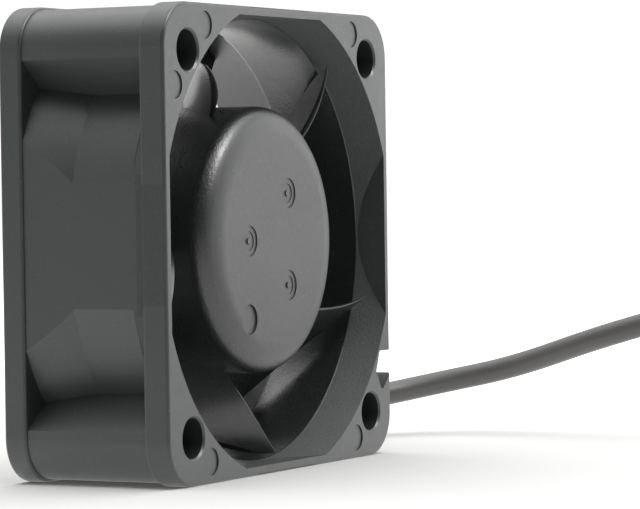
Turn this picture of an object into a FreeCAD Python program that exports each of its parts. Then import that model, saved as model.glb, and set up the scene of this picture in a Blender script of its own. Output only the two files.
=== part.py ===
"""A square-framed DC axial fan, 50 x 50 x 20 mm, with an external-rotor motor on two ball bearings.

Every sub-part is drawn about the fan's own axis: x to the right, y the depth behind the inlet face and z up.
Its placement then stands the fan on its lower edge, with the origin at the middle of the footprint.
"""
import FreeCAD, Part
import math
import os
import re

import Sketcher
from FreeCAD import Placement, Rotation, Vector

doc = FreeCAD.newDocument("AxialFan")
sheet = doc.addObject("Spreadsheet::Sheet", "Sizes")

SIZES = [
    # Frame
    ("frame_width", 50.0, "width and height of the square frame"),
    ("frame_depth", 20.0, "from the inlet face to the exhaust face"),
    ("corner_radius", 4.8, "outer corners of both flanges"),
    ("flange_edge", 0.35, "rounding of the flanges' rims"),
    ("front_flange", 3.0, "thickness of the inlet flange"),
    ("rear_flange", 2.7, "thickness of the exhaust flange"),
    ("wall_setback", 0.3, "how far pillars and barrel stand back from the flanges"),
    ("duct_margin", 1.05, "air duct at its narrowest, from the frame's edge"),
    ("bore_radius", "frame_width/2 - duct_margin", "air duct at its narrowest"),
    ("flat_margin", 0.95, "flats that cut the flares off, from the frame's edge"),
    ("duct_flat", "frame_width/2 - flat_margin", "from the axis to those flats"),
    ("inlet_widening", 1.75, "how much the inlet flare opens"),
    ("inlet_radius", "bore_radius + inlet_widening", "inlet flare at the face"),
    ("inlet_length", 3.7, "depth at which the inlet flare ends"),
    ("outlet_widening", 1.85, "how much the exhaust flare opens"),
    ("outlet_radius", "bore_radius + outlet_widening", "exhaust flare at the rear face"),
    ("outlet_length", 8.2, "length of the exhaust flare"),
    ("outlet_start", "frame_depth - outlet_length", "depth at which the exhaust flare begins"),
    ("barrel_wall", 1.6, "duct wall at its narrowest"),
    ("barrel_root", 3.05, "from the duct to the barrel's outside at the flanges"),
    ("barrel_root_radius", "bore_radius + barrel_root", "barrel where it runs into the flanges"),
    ("front_cone", 1.2, "depth of the barrel's short front cone"),
    ("rear_cone", 6.0, "depth of the barrel's long rear cone"),
    # Corners
    ("hole_margin", 5.0, "mounting holes from the frame's edges"),
    ("hole_spacing", "frame_width - 2*hole_margin", "between mounting holes, both ways"),
    ("hole_radius", 2.15, "mounting hole"),
    ("hole_edge", 0.2, "countersink at both ends of a mounting hole"),
    ("pillar_width", 5.75, "a pillar's straight side, from the edge of the frame"),
    ("pillar_foot_angle", 37.6, "where the pillar's slanted side meets the barrel, in degrees"),
    ("mark_radius", 1.45, "ejector marks on the inlet face"),
    ("mark_depth", 0.15, "depth of the marks"),
    ("mark_aside", 3.6, "ejector marks beside the mounting holes"),
    ("mark_across", "hole_spacing/2 - mark_aside", "ejector marks from the axis, across"),
    ("mark_margin", 2.3, "ejector marks from the frame's edge"),
    ("mark_up", "frame_width/2 - mark_margin", "ejector marks from the axis, up"),
    # Wire notches
    ("notch_above_hole", 5.5, "exhaust flange's wire notch above the mounting hole"),
    ("notch_height", "hole_spacing/2 - notch_above_hole", "middle of that notch below the axis"),
    ("notch_lead", 1.25, "top of the inlet flange's notch above the middle of the other"),
    ("notch_top", "notch_height - notch_lead", "top of the inlet flange's notch below the axis"),
    ("notch_reach", 3.1, "depth of the exhaust flange's notch from the frame's edge"),
    ("hook_reach", 3.5, "depth of the inlet flange's notch from the frame's edge"),
    ("hook_slant", 0.9, "how much deeper that notch is at its bottom than at its top"),
    ("hook_gap", 2.3, "height of its inner end"),
    ("hook_tip", 2.6, "tip of its hook below its top"),
    ("hook_bottom", 4.2, "deepest point of the pocket behind the hook below its top"),
    ("hook_inset", 2.05, "that point from the frame's edge"),
    ("hook_half", 0.35, "half the width of the pocket's rounded bottom"),
    ("hook_round", 0.45, "rounding of that bottom"),
    ("cable_nip", 0.03, "room round the cable in the exhaust flange"),
    # Struts and motor base
    ("strut_width", 2.4, "plain strut"),
    ("strut_height", 3.2, "struts, from the exhaust face"),
    ("strut_front", "frame_depth - strut_height", "depth at which the struts begin"),
    ("wire_strut_width", 4.4, "strut with the wire channel"),
    ("channel_width", 2.6, "wire channel"),
    ("channel_floor", 1.0, "plastic in front of the wire channel"),
    ("hub_radius", 14.5, "impeller hub"),
    ("base_step", 0.2, "motor base within the hub's outline"),
    ("base_radius", "hub_radius - base_step", "motor base"),
    ("base_rim", 1.0, "rim of the motor base"),
    ("base_height", 2.8, "motor base's inner face, from the exhaust face"),
    ("base_front", "frame_depth - base_height", "depth of the motor base's inner face"),
    ("rim_height", 3.8, "motor base's rim, from the exhaust face"),
    ("rim_front", "frame_depth - rim_height", "depth at which the rim begins"),
    ("base_setback", 0.3, "motor base behind the exhaust face"),
    ("base_recess", 0.4, "round recess in the motor base"),
    ("recess_margin", 1.5, "land around the recess"),
    ("boss_radius", 6.4, "boss around the bearing tube"),
    ("boss_height", 5.0, "boss, from the exhaust face"),
    ("boss_front", "frame_depth - boss_height", "depth at which the boss begins"),
    ("rear_opening", 4.3, "radius of the opening behind the shaft"),
    # Impeller
    ("hub_front", 1.0, "hub face behind the inlet face"),
    ("hub_short", 4.8, "hub's rear rim, from the exhaust face"),
    ("hub_back", "frame_depth - hub_short", "depth of the hub's rear rim"),
    ("hub_round", 2.2, "rounding of the hub's front edge"),
    ("hub_blend", 5.0, "larger rounding that leads from the face into the edge"),
    ("hub_blend_turn", 25.0, "how far the larger rounding turns, in degrees"),
    ("hub_wall", 1.3, "side wall of the hub"),
    ("hub_face", 1.2, "face of the hub"),
    ("gate_circle", 5.8, "distance of the three gate marks from the axis"),
    ("gate_radius", 1.65, "gate mark"),
    ("gate_depth", 0.12, "depth of a gate mark's rim"),
    ("gate_well", 1.05, "deeper middle of a gate mark"),
    ("gate_well_depth", 0.2, "depth of that middle"),
    ("gate_nub", 0.35, "nub left in each gate mark"),
    ("gate_nub_depth", 0.06, "nub below the hub's face"),
    ("pin_mark_x", -6.0, "plain mark on the hub, across"),
    ("pin_mark_z", -8.4, "plain mark on the hub, up"),
    ("pin_mark_depth", 0.22, "depth of the plain mark"),
    ("blade_count", 5.0, "blades"),
    ("tip_clearance", 0.75, "between blade tips and duct"),
    ("blade_thickness", 1.05, "blade at its middle"),
    ("blade_root_edge", 0.5, "blade's rounded edges at the hub"),
    ("blade_middle_edge", 0.85, "blade's rounded edges halfway"),
    ("blade_tip_edge", 0.3, "blade's rounded edges at the tip"),
    ("blade_nose", 0.9, "how far an edge stands out, as a share of half its thickness"),
    ("blade_bow", 1.1, "camber of the blade"),
    ("blade_seat", 0.85, "how far a blade reaches into the hub's wall"),
    ("lead_root", 39.5, "leading edge at the hub, degrees from +x"),
    ("lead_tip", 54.5, "leading edge at the tip, degrees from +x"),
    ("trail_root", -2.0, "trailing edge at the hub, degrees from +x"),
    ("trail_tip", 7.0, "trailing edge at the tip, degrees from +x"),
    ("lead_root_depth", 5.8, "depth of the leading edge at the hub"),
    ("lead_tip_depth", 1.6, "depth of the leading edge at the tip"),
    ("lead_sweep", 0.54, "how early the leading edge comes forward, 0 for a straight edge"),
    ("trail_root_rise", 0.6, "trailing edge at the hub, in front of the hub's rim"),
    ("trail_root_depth", "hub_back - trail_root_rise", "depth of the trailing edge at the hub"),
    ("trail_tip_drop", 0.2, "trailing edge at the tip, behind the hub's rim"),
    ("trail_tip_depth", "hub_back + trail_tip_drop", "depth of the trailing edge at the tip"),
    # Rotor
    ("yoke_wall", 0.7, "steel yoke's side"),
    ("yoke_plate", 0.8, "steel yoke's face"),
    ("yoke_bend", 0.4, "inside bend of the yoke's corner"),
    ("yoke_inset", 2.3, "yoke's rim inside the hub's rim"),
    ("yoke_back", "hub_back - yoke_inset", "depth of the yoke's rim"),
    ("magnet_wall", 1.6, "ring magnet"),
    ("magnet_gap", 1.2, "between yoke's face and magnet"),
    ("magnet_front", "hub_front + hub_face + yoke_plate + magnet_gap", "depth at which the magnet begins"),
    ("magnet_inset", 0.3, "magnet inside the yoke's rim"),
    ("magnet_back", "yoke_back - magnet_inset", "depth at which the magnet ends"),
    ("shaft_radius", 1.5, "shaft"),
    ("shaft_setback", 1.8, "shaft's end, from the exhaust face"),
    ("shaft_back", "frame_depth - shaft_setback", "depth of the shaft's end"),
    ("shaft_chamfer", 0.2, "shaft's ends"),
    ("groove_radius", 1.1, "bottom of the shaft's groove"),
    ("bush_collar", 3.1, "radius of the bush's collar"),
    ("bush_neck", 2.3, "radius of the bush in the yoke's hole"),
    ("bush_length", 1.7, "bush"),
    ("bush_back", "hub_front + hub_face + bush_length", "depth of the bush's collar face"),
    # Bearings
    ("bearing_radius", 4.0, "outside of a ball bearing"),
    ("bearing_width", 3.0, "width of a ball bearing"),
    ("spring_room", 1.6, "between bush and front bearing, for the preload spring"),
    ("front_bearing", "bush_back + spring_room", "depth of the front bearing's front face"),
    ("bearing_setback", 6.2, "rear bearing's front face, from the exhaust face"),
    ("rear_bearing", "frame_depth - bearing_setback", "depth of the rear bearing's front face"),
    ("ball_circle", 2.75, "radius of the circle of balls"),
    ("ball_radius", 0.7, "ball"),
    ("ball_count", 7.0, "balls in a bearing"),
    ("race_clearance", 0.05, "between ball and race"),
    ("race_gap", 0.45, "from the ball circle to either ring's shoulder"),
    ("cage_wall", 0.4, "cage's wall"),
    ("cage_width", 2.0, "cage's width"),
    ("pocket_clearance", 0.06, "between ball and cage"),
    ("spring_wire", 0.3, "preload spring's wire"),
    ("spring_turns", 2.5, "turns of the preload spring"),
    ("washer_thickness", 0.3, "washer"),
    ("washer_radius", 2.3, "washer"),
    ("clip_thickness", 0.5, "retaining ring"),
    ("clip_radius", 2.7, "retaining ring"),
    ("clip_mouth", 1.9, "opening of the retaining ring"),
    ("tube_wall", 1.0, "bearing tube"),
    ("tube_step", 0.6, "inner shoulder between the bearings"),
    ("tube_lead", 0.3, "tube in front of the front bearing"),
    ("tube_tail", 0.8, "tube behind the rear bearing"),
    # Stator
    ("air_gap", 0.35, "between stator and magnet"),
    ("core_share", 0.48, "core's thickness as a share of the magnet's length"),
    ("core_stack", "(magnet_back - magnet_front)*core_share", "core's thickness"),
    ("board_setback", 6.8, "board's front face, from the exhaust face"),
    ("board_front", "frame_depth - board_setback", "depth of the board's front face"),
    ("coil_end", 2.18, "core's rear face from the board: insulator, winding and a gap"),
    ("core_front", "board_front - coil_end - core_stack", "depth of the core's front face"),
    ("core_ring", 1.6, "core's ring around the bearing tube"),
    ("pole_width", 2.8, "pole's neck"),
    ("shoe_thickness", 1.3, "pole shoe"),
    ("shoe_angle", 37.0, "half of a pole shoe's arc, in degrees"),
    ("pole_turn", 12.0, "first pole from +x, in degrees"),
    ("insulator_skin", 0.5, "insulator on the core's faces"),
    ("insulator_lip", 1.0, "height of the insulator's lips along the pole shoes"),
    ("lip_wall", 0.8, "thickness of the lips"),
    ("lip_setback", 4.0, "lips' ends from the pole shoes' ends, in degrees"),
    ("coil_room", 0.12, "between coil and its neighbours"),
    ("coil_build", 1.3, "thickness of a coil's winding"),
    ("coil_round", 0.9, "rounding of a coil's corners"),
    # Circuit board
    ("board_thickness", 0.8, "circuit board"),
    ("board_margin", 1.9, "circuit board within the hub's outline"),
    ("board_radius", "hub_radius - board_margin", "circuit board"),
    ("board_hole", 5.2, "hole for the bearing tube"),
    ("board_relief", 1.6, "flat cut off the board's side"),
    ("post_radius", 0.75, "posts that carry the board"),
    ("pin_size", 0.5, "terminal pins"),
    ("pin_length", 0.9, "terminal pins behind the board"),
    ("post_margin", 2.65, "posts and terminal pins from the board's edge"),
    ("post_circle", "board_radius - post_margin", "posts and terminal pins from the axis"),
    ("chip_margin", 3.4, "components behind the board, from its edge"),
    ("chip_circle", "board_radius - chip_margin", "components behind the board, from the axis"),
    ("driver_turn", 150.0, "driver chip from +x, in degrees"),
    ("capacitor_turn", 215.0, "ceramic capacitor from +x, in degrees"),
    ("resistor_turn", 58.0, "first resistor from +x, in degrees"),
    ("resistor_step", 20.0, "between the resistors, in degrees"),
    ("driver_length", 4.9, "driver chip"),
    ("driver_width", 3.9, "driver chip"),
    ("driver_height", 1.4, "driver chip"),
    ("capacitor_length", 3.2, "ceramic capacitor"),
    ("capacitor_width", 2.5, "ceramic capacitor"),
    ("capacitor_height", 1.8, "ceramic capacitor"),
    ("resistor_length", 2.0, "resistor"),
    ("resistor_width", 1.25, "resistor"),
    ("resistor_height", 0.5, "resistor"),
    ("hall_length", 2.9, "hall sensor"),
    ("hall_width", 1.5, "hall sensor"),
    ("hall_height", 1.0, "hall sensor"),
    ("hall_margin", 3.3, "hall sensor from the board's edge"),
    ("hall_circle", "board_radius - hall_margin", "hall sensor from the axis"),
    # Wires, cable and connector
    ("cable_radius", 1.4, "cable's jacket"),
    ("wire_radius", 0.5, "insulated conductor"),
    ("wire_pitch", 1.1, "between the two conductors"),
    ("wire_margin", 2.0, "where the conductors leave the board, from its edge"),
    ("wire_circle", "board_radius - wire_margin", "where the conductors leave the board"),
    ("wire_hole", 0.4, "radius of the board's hole for a conductor"),
    ("jacket_inset", 1.0, "jacket's end from the notch's inner face"),
    ("wire_bend", 1.2, "bend of the conductors into the channel"),
    ("coil_circle", 15.4, "put-away coil at the middle of its turns"),
    ("coil_half_width", 2.8, "half of the put-away coil's width"),
    ("coil_height", 5.6, "height of the put-away coil"),
    ("coil_x", 38.0, "middle of the put-away coil"),
    ("coil_y", -59.0, "middle of the put-away coil"),
    ("tail_start", 33.0, "where the jacket leaves the put-away coil"),
    ("tail_end", 22.0, "where the jacket ends"),
    ("plug_start", 15.0, "wire side of the connector"),
    ("plug_length", 9.8, "connector housing"),
    ("plug_width", 7.4, "connector housing"),
    ("plug_height", 5.8, "connector housing"),
    ("plug_edge", 0.4, "rounding of the connector's long edges"),
    ("plug_pitch", 2.5, "between contacts"),
    ("plug_slot", 1.6, "square cavity of each contact"),
    ("window_length", 2.2, "latch windows in the connector's top"),
    ("window_start", 3.4, "latch windows from the mating face"),
    ("contact_length", 6.4, "contacts in the connector"),
    ("contact_inset", 0.5, "contacts behind the mating face"),
    ("contact_size", 1.4, "contacts in the connector"),
    ("contact_bore", 0.8, "square hole for the mating pin"),
]
NAMES = {name for name, size, meaning in SIZES}
for row, (name, size, meaning) in enumerate(SIZES, start=1):
    sheet.set(f"A{row}", name)
    sheet.set(f"B{row}", f"={size}")
    sheet.set(f"C{row}", meaning)
    sheet.setAlias(f"B{row}", name)
doc.recompute()


def bound(text):
    """An expression with every size in it named as the sheet's."""
    return re.sub(r"[a-z_]+", lambda word: "Sizes." + word[0] if word[0] in NAMES else word[0], str(text))


def number(text):
    """What an expression comes to now."""
    return float(sheet.evalExpression(bound(text)))


def bind(thing, **sizes):
    """Bind properties of an object to expressions; a double underscore stands for a dot."""
    for name, text in sizes.items():
        thing.setExpression(name.replace("__", "."), bound(text))
    return thing


# Sketches

def arc_between(start, end, radius):
    """The short arc from start to end: anticlockwise for a positive radius, clockwise for a negative one."""
    chord = end - start
    left = Vector(-chord.y, chord.x, 0).normalize()
    rise = math.sqrt(max(radius * radius - chord.Length ** 2 / 4, 0.0))
    centre = (start + end) / 2 + left * math.copysign(rise, radius)
    first, last = (start, end) if radius > 0 else (end, start)
    angles = [math.atan2(p.y - centre.y, p.x - centre.x) for p in (first, last)]
    circle = Part.Circle(centre, Vector(0, 0, 1), abs(radius))
    return Part.ArcOfCircle(circle, *angles)


def outline(sketch, corners):
    """A closed outline. A corner is (x, y), and with a radius (x, y, radius) an arc leads on from it."""
    spots = [Vector(number(c[0]), number(c[1]), 0) for c in corners]
    first, count = sketch.GeometryCount, len(corners)
    ends = []
    for i, corner in enumerate(corners):
        start, end = spots[i], spots[(i + 1) % count]
        if len(corner) == 3:
            radius = number(corner[2])
            sketch.addGeometry(arc_between(start, end, radius))
            ends.append((1, 2) if radius > 0 else (2, 1))
            size = abs(radius)
            at = sketch.addConstraint(Sketcher.Constraint("Radius", first + i, size))
            sketch.setExpression(f"Constraints[{at}]", bound(f"abs({corner[2]})"))
        else:
            sketch.addGeometry(Part.LineSegment(start, end))
            ends.append((1, 2))
    for i in range(count):
        j = (i + 1) % count
        sketch.addConstraint(Sketcher.Constraint("Coincident", first + i, ends[i][1], first + j, ends[j][0]))
    for i, corner in enumerate(corners):
        for kind, text, at in (("DistanceX", corner[0], spots[i].x), ("DistanceY", corner[1], spots[i].y)):
            k = sketch.addConstraint(Sketcher.Constraint(kind, -1, 1, first + i, ends[i][0], at))
            sketch.setExpression(f"Constraints[{k}]", bound(text))


def circle(sketch, x, y, radius):
    """A full circle with its centre and radius bound to the sheet."""
    spot = Vector(number(x), number(y), 0)
    at = sketch.addGeometry(Part.Circle(spot, Vector(0, 0, 1), number(radius)))
    for kind, text, value in (("DistanceX", x, spot.x), ("DistanceY", y, spot.y)):
        k = sketch.addConstraint(Sketcher.Constraint(kind, -1, 1, at, 3, value))
        sketch.setExpression(f"Constraints[{k}]", bound(text))
    k = sketch.addConstraint(Sketcher.Constraint("Radius", at, number(radius)))
    sketch.setExpression(f"Constraints[{k}]", bound(radius))


def ring_corner(radius, aside, angle):
    """The point at a radius along a spoke and so far beside it, for a spoke at an angle in degrees."""
    return (
        f"({radius})*cos({angle}) - ({aside})*sin({angle})",
        f"({radius})*sin({angle}) + ({aside})*cos({angle})",
    )


def spoke(inner, outer, width, angle):
    """The four corners of a straight bar from one radius to another."""
    return [
        ring_corner(inner, f"-({width})/2", angle),
        ring_corner(outer, f"-({width})/2", angle),
        ring_corner(outer, f"({width})/2", angle),
        ring_corner(inner, f"({width})/2", angle),
    ]


def rounded_square(half, radius):
    """A square about the axis with round corners, as an outline."""
    near = f"({half}) - ({radius})"
    corners = []
    for sx, sy in ((1, 1), (-1, 1), (-1, -1), (1, -1)):
        side = (f"{sx}*({half})", f"{sy}*({near})")
        top = (f"{sx}*({near})", f"{sy}*({half})")
        first, last = (side, top) if sx * sy > 0 else (top, side)
        corners += [(*first, radius), last]
    return corners


# Solids of the Part workbench, drawn about the fan's axis

def front_sketch(name, depth):
    """A sketch seen from the inlet, in the plane at that depth: its x is x, and its y is z."""
    drawn = doc.addObject("Sketcher::SketchObject", name)
    drawn.Placement = Placement(Vector(0, 0, 0), Rotation(Vector(1, 0, 0), 90))
    bind(drawn, Placement__Base__y=depth)
    return drawn


def slab(name, outlines, front, back, circles=()):
    """Outlines and circles pulled straight through from one depth to another."""
    drawn = front_sketch(name + "_outline", front)
    for corners in outlines:
        outline(drawn, corners)
    for spot in circles:
        circle(drawn, *spot)
    solid = doc.addObject("Part::Extrusion", name)
    solid.Base = drawn
    solid.DirMode = "Custom"
    solid.Dir = Vector(0, 1, 0)
    solid.Solid = True
    return bind(solid, LengthFwd=f"({back}) - ({front})")


def lathe(name, section):
    """A half section of (radius, depth) corners turned about the fan's axis."""
    drawn = doc.addObject("Sketcher::SketchObject", name + "_section")
    outline(drawn, section)
    solid = doc.addObject("Part::Revolution", name)
    solid.Source = drawn
    solid.Axis = Vector(0, 1, 0)
    solid.Base = Vector(0, 0, 0)
    solid.Angle = 360
    solid.Solid = True
    return solid


def block(name, half, front, back):
    """A square block about the axis, between two depths."""
    solid = doc.addObject("Part::Box", name)
    bind(solid, Length=f"2*({half})", Height=f"2*({half})", Width=f"({back}) - ({front})")
    return bind(solid, Placement__Base__x=f"-({half})", Placement__Base__y=front, Placement__Base__z=f"-({half})")


def common(name, first, second):
    solid = doc.addObject("Part::Common", name)
    solid.Base, solid.Tool = first, second
    return solid


def fused(name, parts):
    solid = doc.addObject("Part::MultiFuse", name)
    solid.Shapes = parts
    return solid


def cut(name, base, tools):
    """A solid with one or more others taken out of it."""
    solid = doc.addObject("Part::Cut", name)
    solid.Base = base
    solid.Tool = tools[0] if len(tools) == 1 else fused(name + "_tools", tools)
    return solid


def softened(name, base, size, chosen):
    """A fillet on the edges that chosen picks from the shape."""
    doc.recompute()
    solid = doc.addObject("Part::Fillet", name)
    solid.Base = base
    radius = number(size)
    solid.Edges = [(i, radius, radius) for i, edge in enumerate(base.Shape.Edges, start=1) if chosen(edge)]
    return solid


PARTS = []


def place(thing, label):
    """Name a finished sub-part and stand it at its place in the fan."""
    thing.Label = label
    bind(thing, Placement__Base__y="-frame_depth/2", Placement__Base__z="frame_width/2")
    PARTS.append(thing)
    return thing


# Frame

SIDES = ((1, 1), (-1, 1), (-1, -1), (1, -1))
WIRE_ANGLE = "(-atan(notch_height/(frame_width/2 - notch_reach))/1deg)"
CABLE_DEPTH = "(frame_depth - cable_radius)"
BASE_BACK = "(frame_depth - base_setback)"
TUBE_RADIUS = "(bearing_radius + tube_wall)"
TUBE_BACK = "(rear_bearing + bearing_width + tube_tail)"


def flange(name, front, back):
    """A square plate with round corners and rounded rims."""
    plate = slab(name + "_plate", [rounded_square("frame_width/2", "corner_radius")], front, back)
    return softened(name, plate, "flange_edge", lambda edge: edge.BoundBox.YLength < 1e-6)


def pillar_outline(sx, sz):
    """A corner pillar: round outside, straight sides, then slanted sides that run into the barrel."""
    edge, side = "(frame_width/2 - wall_setback)", "(frame_width/2 - pillar_width)"
    turn = f"({edge} - corner_radius + wall_setback)"
    foot = [f"(bore_radius + barrel_wall)*{way}(pillar_foot_angle)" for way in ("cos", "sin")]
    inside = [f"(bore_radius - barrel_wall)*{way}(pillar_foot_angle)" for way in ("cos", "sin")]
    quarter = [(edge, side), (edge, turn, "(corner_radius - wall_setback)"), (turn, edge), (side, edge),
               (foot[1], foot[0]), (inside[1], inside[0]), inside, foot]
    return [(f"{sx}*{c[0]}", f"{sz}*{c[1]}", *(f"{sx * sz}*{r}" for r in c[2:])) for c in quarter]


def frame_outside():
    """Both flanges, the barrel with its two cones and the four pillars."""
    wall, middle = "(bore_radius + barrel_wall)", "(frame_depth - rear_flange - rear_cone)"
    barrel = lathe("barrel_round", [
        (0, "front_flange"), ("barrel_root_radius", "front_flange"), (wall, "front_flange + front_cone"),
        (wall, middle), ("barrel_root_radius", "frame_depth - rear_flange"), (0, "frame_depth - rear_flange")])
    sides = block("barrel_sides", "frame_width/2 - wall_setback", 0, "frame_depth")
    pillars = slab("pillars", [pillar_outline(*side) for side in SIDES], "front_flange/2",
                   "frame_depth - rear_flange/2")
    return fused("frame_outside", [
        flange("inlet_flange", 0, "front_flange"),
        flange("exhaust_flange", "frame_depth - rear_flange", "frame_depth"),
        common("barrel", barrel, sides), pillars])


def duct():
    """The air duct: a bore, and a flare at each end that the frame's four sides cut flat."""
    bore = lathe("duct_bore", [(0, -1), ("bore_radius", -1), ("bore_radius", "frame_depth + 1"),
                               (0, "frame_depth + 1")])
    inlet = lathe("inlet_flare", [(0, -1), ("inlet_radius", -1), ("inlet_radius", 0),
                                  ("bore_radius", "inlet_length"), (0, "inlet_length")])
    outlet = lathe("outlet_flare", [
        (0, "outlet_start"), ("bore_radius", "outlet_start"), ("outlet_radius", "frame_depth"),
        ("outlet_radius", "frame_depth + 1"), (0, "frame_depth + 1")])
    inlet_sides = block("inlet_sides", "duct_flat", -1, "inlet_length")
    outlet_sides = block("outlet_sides", "duct_flat", "outlet_start", "frame_depth + 1")
    return [bore, common("inlet", inlet, inlet_sides), common("outlet", outlet, outlet_sides)]


def motor_base():
    """The dish that closes the motor, the boss for the bearing tube and the four struts."""
    land, floor = "(base_radius - recess_margin)", f"({BASE_BACK} - base_recess)"
    dish = lathe("base_dish", [
        (TUBE_RADIUS, "boss_front"), ("boss_radius", "boss_front"), ("boss_radius", "base_front"),
        ("base_radius - base_rim", "base_front"), ("base_radius - base_rim", "rim_front"),
        ("base_radius", "rim_front"), ("base_radius", BASE_BACK), (land, BASE_BACK), (land, floor),
        ("rear_opening", floor), ("rear_opening", TUBE_BACK), (TUBE_RADIUS, TUBE_BACK)])
    reach = "(barrel_root_radius - barrel_wall/4)"
    near = "(base_radius - base_rim/2)"
    plain = [spoke(near, reach, "strut_width", f"({WIRE_ANGLE} + {turn})") for turn in (90, 180, 270)]
    struts = slab("struts", plain, "strut_front", "frame_depth")
    wire_strut = slab("wire_strut", [spoke(near, reach, "wire_strut_width", WIRE_ANGLE)], "strut_front",
                      "frame_depth")
    return [dish, struts, wire_strut]


def wire_way():
    """The channel in the wide strut, the slot through the base above it and the cable's notch."""
    floor = "(strut_front + channel_floor)"
    start, stop = "(wire_circle - 3*wire_radius)", "(wire_circle + 3*wire_radius)"
    stop_out = "sqrt((frame_width/2 - notch_reach)^2 + notch_height^2)"
    channel = slab("wire_channel", [spoke(start, stop_out, "channel_width", WIRE_ANGLE)], floor,
                   "frame_depth + 1")
    slot = slab("base_slot", [spoke(start, stop, "channel_width", WIRE_ANGLE)], "strut_front", floor)
    half = "(cable_radius + cable_nip)"
    left, right = "(frame_width/2 - notch_reach - cable_radius)", "(frame_width/2 + 1)"
    low, high = f"(-notch_height - {half})", f"(-notch_height + {half})"
    notch = slab("cable_notch", [[(left, low), (right, low), (right, high), (left, high)]],
                 f"{CABLE_DEPTH} - {half}", "frame_depth + 1")
    return [channel, slot, notch]


def hook_notch():
    """The inlet flange's wire notch: a slanted end, and a pocket that a pointed hook closes from outside."""
    back, tip, out = "(frame_width/2 - hook_reach)", "(frame_width/2)", "(frame_width/2 + 1)"
    top, low, hook = "(-notch_top)", "(-notch_top - hook_gap)", "(-notch_top - hook_tip)"
    middle, pocket = "(frame_width/2 - hook_inset)", "(-notch_top - hook_bottom)"
    return slab("hook_notch", [[
        (f"{back} + hook_slant", top), (back, low), (f"{middle} - hook_half", pocket, "hook_round"),
        (f"{middle} + hook_half", pocket), (tip, hook), (out, hook), (out, top)]], -1, "front_flange")


def countersinks():
    """A short cone at both ends of each mounting hole."""
    cones = []
    for sx, sz in SIDES:
        for face, turn in ((0, -90), ("frame_depth", 90)):
            cone = doc.addObject("Part::Cone", "countersink")
            cone.Placement = Placement(Vector(0, 0, 0), Rotation(Vector(1, 0, 0), turn))
            bind(cone, Radius1="hole_radius + hole_edge", Radius2="hole_radius", Height="hole_edge",
                 Placement__Base__x=f"{sx}*hole_spacing/2", Placement__Base__y=face,
                 Placement__Base__z=f"{sz}*hole_spacing/2")
            cones.append(cone)
    return cones


def make_frame():
    half = "hole_spacing/2"
    holes = slab("mounting_holes", [], -1, "frame_depth + 1",
                 circles=[(f"{sx}*{half}", f"{sz}*{half}", "hole_radius") for sx, sz in SIDES])
    spots = [(f"{sx}*mark_across", f"{sz}*mark_up") for sx, sz in SIDES] + [("-mark_up", "mark_across")]
    marks = slab("ejector_marks", [], -1, "mark_depth", circles=[(*spot, "mark_radius") for spot in spots])
    shell = cut("frame_shell", frame_outside(), duct())
    body = fused("frame_body", [shell, *motor_base()])
    place(cut("frame", body, [holes, *countersinks(), marks, *wire_way(), hook_notch()]), "frame")


# Impeller

CAVITY_RADIUS = "(hub_radius - hub_wall)"
CAVITY_FRONT = "(hub_front + hub_face)"
# A blade's sections, and how far the last lies out: a little past the tip, where the blade is trimmed
BLADE_SECTIONS, BLADE_END = 5, 1.05


def blade_solid():
    """One blade: sections from inside the hub's wall outwards, lofted, then trimmed round at both ends."""
    hub, tip = number("hub_radius"), number("bore_radius - tip_clearance")

    def edge_point(share, name, sweep):
        """Where an edge of the blade is, from the hub at share 0 to the tip at share 1."""
        root_turn, tip_turn, root_depth, tip_depth = (
            number(f"{name}{end}") for end in ("_root", "_tip", "_root_depth", "_tip_depth"))
        turn = math.radians(root_turn + share * (tip_turn - root_turn))
        forward = share * (1 + sweep) - share * share * sweep
        radius = hub + share * (tip - hub)
        return Vector(radius * math.cos(turn), root_depth + forward * (tip_depth - root_depth),
                      radius * math.sin(turn))

    thick, bow = number("blade_thickness/2"), number("blade_bow")
    root_edge, middle_edge, tip_edge, nose = (number(size) for size in (
        "blade_root_edge/2", "blade_middle_edge/2", "blade_tip_edge/2", "blade_nose"))
    start = (number(f"{CAVITY_RADIUS} - hub_wall") - hub) / (tip - hub)
    wires = []
    for k in range(BLADE_SECTIONS):
        share = start + (BLADE_END - start) * k / (BLADE_SECTIONS - 1)
        a, b = edge_point(share, "lead", number("lead_sweep")), edge_point(share, "trail", 0)
        chord = b - a
        side = Vector(0, -chord.z, chord.y).normalize()
        crest = (a + b) / 2 + side * bow
        along = min(max(share, 0), 1)
        plain = root_edge + along * (tip_edge - root_edge)
        thin = plain + 4 * along * (1 - along) * (middle_edge - (root_edge + tip_edge) / 2)
        out = chord.normalize() * thin * nose
        first, last = a + out, b - out
        wires.append(Part.Wire([
            Part.Arc(first + side * thin, crest + side * thick, last + side * thin).toShape(),
            Part.Arc(last + side * thin, b, last - side * thin).toShape(),
            Part.Arc(last - side * thin, crest - side * thick, first - side * thin).toShape(),
            Part.Arc(first - side * thin, a, first + side * thin).toShape()]))
    blade = Part.makeLoft(wires, True, False)
    depth = number("frame_depth")
    blade = blade.common(Part.makeCylinder(tip, depth, Vector(0, 0, 0), Vector(0, 1, 0)))
    root = number("hub_radius - blade_seat")
    blade = blade.cut(Part.makeCylinder(root, depth, Vector(0, 0, 0), Vector(0, 1, 0)))
    return max(blade.Solids, key=lambda piece: piece.Volume)


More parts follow.
